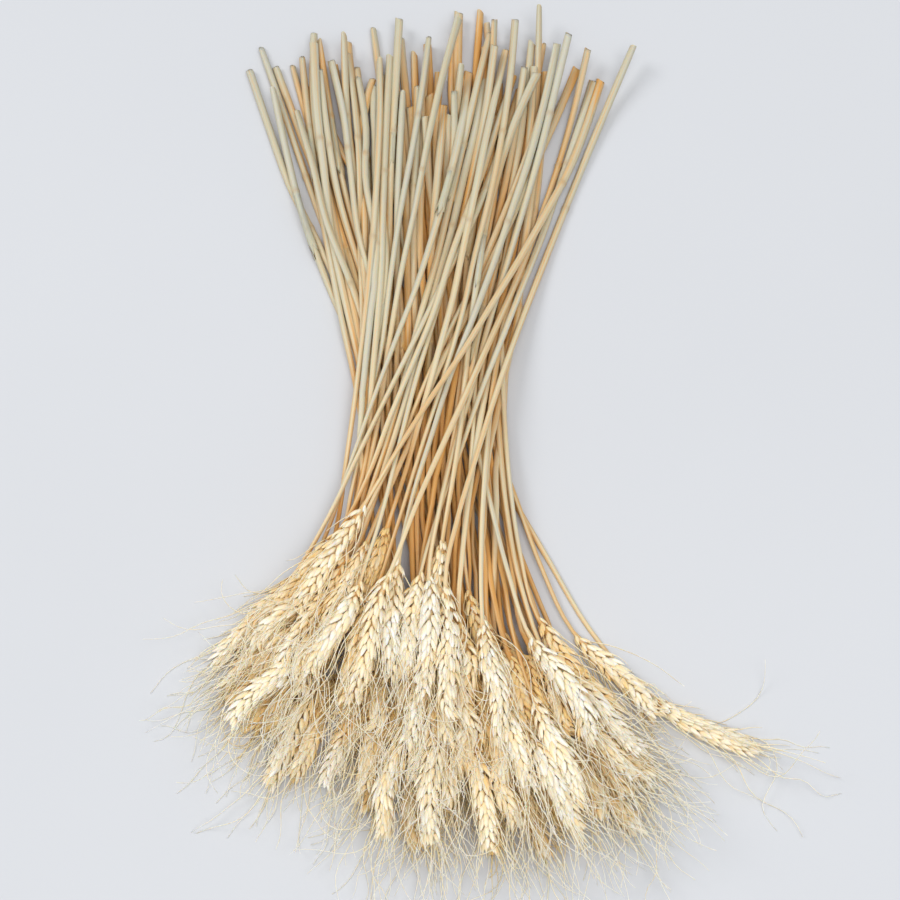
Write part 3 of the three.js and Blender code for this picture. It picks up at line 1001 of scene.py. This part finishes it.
def grown_awns(stalk, tips, ahead, turn):
    """Points of every awn in its place, and how far along its awn each point is."""
    share, _, _ = spikelets()
    awned = np.isin(np.arange(len(share)) % len(HUSKS), AWNED)
    seed = random.integers(1 << 32)
    shorter = 1.0
    for _ in range(2):  # the second time, those that left the room are shorter
        path = awn_paths(tips[awned], ahead[awned], stalk, share[awned], shorter, np.random.default_rng(seed))
        places = bend(turned(path + (0, 0, stalk.neck), turn), stalk.line)
        shorter = inside_room(places)
    places[..., 2] = above_table(places[..., 2]) + AWN_BASE
    along = unit(np.gradient(places, axis=1))
    side = unit(np.cross(along, AWN_UP))
    top = np.cross(side, along)
    ring = np.rint(awn_points[:, 2]).astype(int)
    share = ring / (AWN_RINGS - 1)
    x, y = (awn_points[:, :2] * (AWN_BASE * (1 - share) + AWN_TIP * share)[:, None]).T
    points = places[:, ring] + side[:, ring] * x[:, None] + top[:, ring] * y[:, None]
    return points, np.broadcast_to(share, points.shape[:2])


# %% All ears
def grow_ear(stalk, name, tone):
    """One ear with its beard, lying more or less on one of its faces."""
    turn = random.normal(0, 0.5) + math.pi * random.integers(2)
    husks, tips, ahead, grown = straight_husks(stalk)
    awns, awn_share = grown_awns(stalk, tips, ahead, turn)
    husks = bend(turned(husks + (0, 0, stalk.neck), turn), stalk.line)
    husks[..., 2] = above_table(husks[..., 2])

    def parts(places, share, mark_and_shade):
        """Share along the part, tone with the painted shade of depth, and the marks with painted shade, of every
        point, with a tone of its own for each husk or awn.
        """
        own = tone * 0.7 + random.normal(0, 0.13, len(places))[:, None]
        share, mark_and_shade = (np.broadcast_to(v, places.shape[:2]) for v in (share, mark_and_shade))
        # Painted warm shade with depth is added to the tone.
        return np.stack([share, own + DEPTH_SHADE_TONE * depth_shade(places), mark_and_shade], -1)

    height = husk_points[:, 2]
    # Painted shade: the foot of each husk, tucked under the husk below, takes the mark colour.
    part = [parts(husks, height, 0.4 * np.exp(-height / 0.14)), parts(awns, awn_share, 0)]
    grown = [grown + random.uniform(0, 1, (len(husks), 1, 3)), awns]
    return finished(ear_mesh.copy(), name, *(
        np.vstack([values.reshape(-1, 3) for values in pair]) for pair in ([husks, awns], grown, part)),
        "husk", stalk.node)


ears = [grow_ear(s, f"ear_{n + 1:02d}", TONES[f"straw_{n + 1:02d}"]) for n, s in enumerate(stalks)]
ears += [grow_ear(s, f"inner_ear_{n + 1:02d}", TONES[f"inner_straw_{n + 1:02d}"])
         for n, s in enumerate(inner_stalks)]
faces = sum(len(p.vertices) - 2 for o in (straws[0], ears[0]) for p in o.data.polygons)
print(len(ears), "ears;", faces, "triangles to a stalk,", faces * len(ears), "in all")
